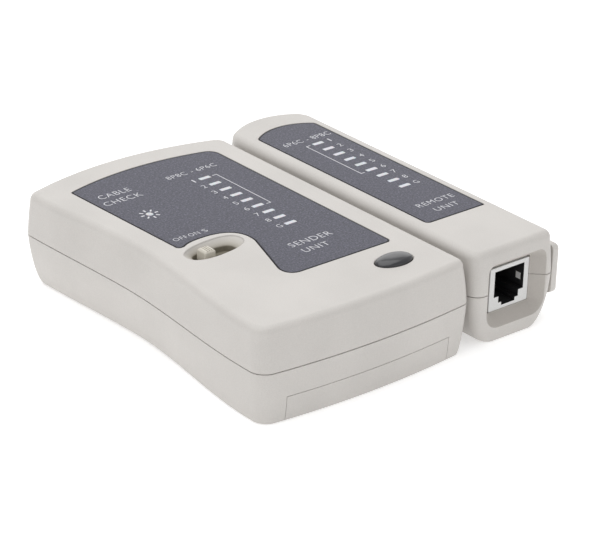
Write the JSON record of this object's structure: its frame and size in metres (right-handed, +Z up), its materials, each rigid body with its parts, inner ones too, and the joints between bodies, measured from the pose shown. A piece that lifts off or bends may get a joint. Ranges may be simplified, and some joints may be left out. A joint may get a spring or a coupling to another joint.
{
  "type": "network cable tester",
  "caption": "Handheld cable tester: a waisted main unit and a slim remote unit, each with a row of indicator lamps and modular sockets, plus a slide switch and a push button.",
  "frame": {"origin": "below the middle of the pair of units, on the surface they stand on", "axes": "+X from the main unit to the remote unit, +Y from the near ends to the arched far ends along the longest side, +Z up"},
  "size_m": [0.1176, 0.1243, 0.0316],
  "materials": {
    "shell_plastic": "fine matte spark-eroded texture, off-white",
    "label_film": "satin charcoal film with a fine metallic fleck and white print",
    "black_gloss_plastic": "glossy black",
    "black_plastic": "matte black",
    "lamp_lens": "translucent white",
    "circuit_board": "green solder mask",
    "contact_gold": "gold plated",
    "jack_plastic": "white moulded plastic",
    "plated_steel": "bright zinc",
    "battery_jacket": "dark printed metal jacket, plain",
    "red_insulation": "red wire insulation",
    "black_insulation": "black wire insulation"
  },
  "bodies": {
    "main_unit": {"main_top_shell": "shell_plastic", "main_bottom_shell": "shell_plastic", "main_face_label": "label_film", "main_circuit_board": "circuit_board", "main_jack_8p": "jack_plastic", "main_jack_8p_contacts": "contact_gold", "main_jack_6p": "jack_plastic", "main_jack_6p_contacts": "contact_gold", "main_lamp_1": "lamp_lens", "main_lamp_2": "lamp_lens", "main_lamp_3": "lamp_lens", "main_lamp_4": "lamp_lens", "main_lamp_5": "lamp_lens", "main_lamp_6": "lamp_lens", "main_lamp_7": "lamp_lens", "main_lamp_8": "lamp_lens", "main_lamp_9": "lamp_lens", "power_lamp": "lamp_lens", "switch_body": "plated_steel", "button_switch": "black_plastic", "timer_chip": "black_plastic", "counter_chip": "black_plastic", "battery": "battery_jacket", "battery_snap": "black_plastic", "lead_red": "red_insulation", "lead_black": "black_insulation", "main_screw_1": "plated_steel", "main_screw_2": "plated_steel", "main_screw_3": "plated_steel", "main_screw_4": "plated_steel"},
    "battery_door": {"battery_door": "shell_plastic"},
    "switch_knob": {"switch_knob": "shell_plastic"},
    "push_button": {"push_button": "black_gloss_plastic"},
    "remote_unit": {"remote_top_shell": "shell_plastic", "remote_bottom_shell": "shell_plastic", "remote_side_clip": "shell_plastic", "remote_face_label": "label_film", "remote_circuit_board": "circuit_board", "remote_jack_8p": "jack_plastic", "remote_jack_8p_contacts": "contact_gold", "remote_jack_6p": "jack_plastic", "remote_jack_6p_contacts": "contact_gold", "remote_lamp_1": "lamp_lens", "remote_lamp_2": "lamp_lens", "remote_lamp_3": "lamp_lens", "remote_lamp_4": "lamp_lens", "remote_lamp_5": "lamp_lens", "remote_lamp_6": "lamp_lens", "remote_lamp_7": "lamp_lens", "remote_lamp_8": "lamp_lens", "remote_lamp_9": "lamp_lens", "remote_screw_1": "plated_steel", "remote_screw_2": "plated_steel"}
  },
  "joints": [
    {"name": "battery_door_slide", "type": "slide", "parent": "main_unit", "child": "battery_door", "axis": [0, -1, 0], "range_m": [0, 0.04]},
    {"name": "switch_slide", "type": "slide", "parent": "main_unit", "child": "switch_knob", "axis": [1, 0, 0], "range_m": [0, 0.007]},
    {"name": "button_press", "type": "slide", "parent": "main_unit", "child": "push_button", "axis": [0, 0, -1], "range_m": [0, 0.0008], "stiffness_N_per_m": 600},
    {"name": "remote_lift", "type": "slide", "parent": "main_unit", "child": "remote_unit", "axis": [0, 0, 1], "range_m": [0, 0.12]}
  ]
}
